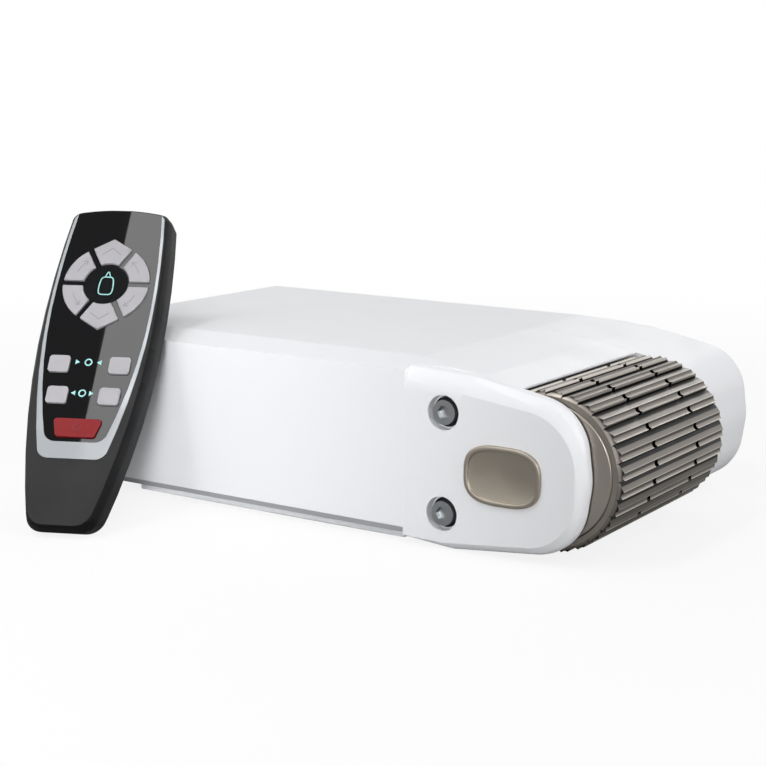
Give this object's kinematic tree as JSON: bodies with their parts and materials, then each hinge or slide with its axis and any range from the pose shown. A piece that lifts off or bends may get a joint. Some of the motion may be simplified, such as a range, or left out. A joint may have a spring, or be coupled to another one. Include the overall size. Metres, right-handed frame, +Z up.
{
  "type": "caravan motor mover",
  "caption": "White drive unit with a ribbed metal roller that presses on a caravan's tyre and turns it, with its wireless handset leaning on it.",
  "frame": {"origin": "centre of the base plate's underside", "axes": "+X from the blind end towards the roller, +Y inboard, +Z up"},
  "size_m": [0.3722, 0.381, 0.163],
  "materials": {
    "white_shell": "satin moulded, fine grain",
    "grey_pan": "satin moulded",
    "anodised_roller": "bead blasted, taupe anodised",
    "bright_steel": "ground",
    "dark_steel": "blackened",
    "bronze": "sintered",
    "cast_aluminium": "cast",
    "motor_black": "semi-gloss paint",
    "black_nylon": "moulded",
    "handset_charcoal": "satin moulded",
    "handset_gloss": "polished",
    "trim_silver": "satin chrome",
    "circuit_board": "solder mask",
    "cell_jacket": "printed jacket, plain",
    "key_grey": "matt silicone",
    "key_red": "matt silicone"
  },
  "bodies": {
    "drive_unit": {"main_cover": "white_shell", "floor_pan": "grey_pan", "base_plate": "white_shell", "near_cheek": "white_shell", "top_bridge": "white_shell", "gearbox_case": "white_shell", "gearbox_cover": "white_shell", "cheek_screws": "dark_steel", "cheek_washers": "bright_steel", "gearbox_screws": "dark_steel", "base_screws": "dark_steel", "near_bearing": "bright_steel", "far_bearing": "bright_steel", "idler_pin": "bright_steel", "drive_motor": "motor_black", "motor_cap": "black_nylon", "gearhead": "cast_aluminium", "motor_saddle": "cast_aluminium", "cable_gland": "black_nylon", "rod_brackets": "cast_aluminium", "guide_rods": "bright_steel", "actuator_motor": "motor_black"},
    "roller": {"roller_sleeve": "anodised_roller", "roller_plugs": "anodised_roller", "roller_shaft": "bright_steel", "roller_gear": "bright_steel"},
    "idler": {"idler_gear": "bronze"},
    "drive_pinion": {"drive_gear": "bright_steel"},
    "spindle": {"lead_screw": "bright_steel"},
    "carriage": {"carriage_block": "cast_aluminium", "carriage_bushes": "bronze", "spindle_nut": "bronze"},
    "handset": {"handset_back": "handset_charcoal", "handset_front": "handset_charcoal", "handset_trim": "trim_silver", "handset_fascia": "handset_gloss", "handset_board": "circuit_board", "key_switches": "key_grey", "battery_cells": "cell_jacket", "battery_door": "handset_charcoal", "handset_screws": "dark_steel"},
    "key_forward": {"key_forward": "key_grey"},
    "key_forward_left": {"key_forward_left": "key_grey"},
    "key_back_left": {"key_back_left": "key_grey"},
    "key_back": {"key_back": "key_grey"},
    "key_back_right": {"key_back_right": "key_grey"},
    "key_forward_right": {"key_forward_right": "key_grey"},
    "key_engage_left": {"key_engage_left": "key_grey"},
    "key_engage_right": {"key_engage_right": "key_grey"},
    "key_release_left": {"key_release_left": "key_grey"},
    "key_release_right": {"key_release_right": "key_grey"},
    "key_power": {"key_power": "key_red"}
  },
  "joints": [
    {"name": "roller_spin", "type": "hinge", "parent": "drive_unit", "child": "roller", "pos_m": [0.1744, 0, 0.0469], "axis": [0, 1, 0], "continuous": true},
    {"name": "idler_spin", "type": "hinge", "parent": "drive_unit", "child": "idler", "pos_m": [0.1309, 0, 0.0469], "axis": [0, 1, 0], "continuous": true},
    {"name": "pinion_spin", "type": "hinge", "parent": "drive_unit", "child": "drive_pinion", "pos_m": [0.0919, 0, 0.0469], "axis": [0, 1, 0], "continuous": true},
    {"name": "carriage_slide", "type": "slide", "parent": "drive_unit", "child": "carriage", "axis": [-1, 0, 0], "range_m": [0, 0.04]},
    {"name": "spindle_spin", "type": "hinge", "parent": "drive_unit", "child": "spindle", "pos_m": [0, 0.1315, 0.048], "axis": [1, 0, 0], "range_deg": [-20, 2900]},
    {"name": "handset_lift", "type": "slide", "parent": "drive_unit", "child": "handset", "axis": [0, 0, 1], "range_m": [0, 0.15]},
    {"name": "key_forward_press", "type": "slide", "parent": "handset", "child": "key_forward", "axis": [-0.3205, 0.7199, -0.6157], "range_m": [0, 0.0008], "stiffness_N_per_m": 2500},
    {"name": "key_forward_left_press", "type": "slide", "parent": "handset", "child": "key_forward_left", "axis": [-0.3205, 0.7199, -0.6157], "range_m": [0, 0.0008], "stiffness_N_per_m": 2500},
    {"name": "key_back_left_press", "type": "slide", "parent": "handset", "child": "key_back_left", "axis": [-0.3205, 0.7199, -0.6157], "range_m": [0, 0.0008], "stiffness_N_per_m": 2500},
    {"name": "key_back_press", "type": "slide", "parent": "handset", "child": "key_back", "axis": [-0.3205, 0.7199, -0.6157], "range_m": [0, 0.0008], "stiffness_N_per_m": 2500},
    {"name": "key_back_right_press", "type": "slide", "parent": "handset", "child": "key_back_right", "axis": [-0.3205, 0.7199, -0.6157], "range_m": [0, 0.0008], "stiffness_N_per_m": 2500},
    {"name": "key_forward_right_press", "type": "slide", "parent": "handset", "child": "key_forward_right", "axis": [-0.3205, 0.7199, -0.6157], "range_m": [0, 0.0008], "stiffness_N_per_m": 2500},
    {"name": "key_engage_left_press", "type": "slide", "parent": "handset", "child": "key_engage_left", "axis": [-0.3205, 0.7199, -0.6157], "range_m": [0, 0.0008], "stiffness_N_per_m": 2500},
    {"name": "key_engage_right_press", "type": "slide", "parent": "handset", "child": "key_engage_right", "axis": [-0.3205, 0.7199, -0.6157], "range_m": [0, 0.0008], "stiffness_N_per_m": 2500},
    {"name": "key_release_left_press", "type": "slide", "parent": "handset", "child": "key_release_left", "axis": [-0.3205, 0.7199, -0.6157], "range_m": [0, 0.0008], "stiffness_N_per_m": 2500},
    {"name": "key_release_right_press", "type": "slide", "parent": "handset", "child": "key_release_right", "axis": [-0.3205, 0.7199, -0.6157], "range_m": [0, 0.0008], "stiffness_N_per_m": 2500},
    {"name": "key_power_press", "type": "slide", "parent": "handset", "child": "key_power", "axis": [-0.3205, 0.7199, -0.6157], "range_m": [0, 0.0008], "stiffness_N_per_m": 2500}
  ],
  "couplings": [
    {"joint": "idler_spin", "follows": "roller_spin", "ratio": -0.61111},
    {"joint": "pinion_spin", "follows": "roller_spin", "ratio": 1.375},
    {"joint": "spindle_spin", "follows": "carriage_slide", "rad_per_m": 1256.6}
  ]
}
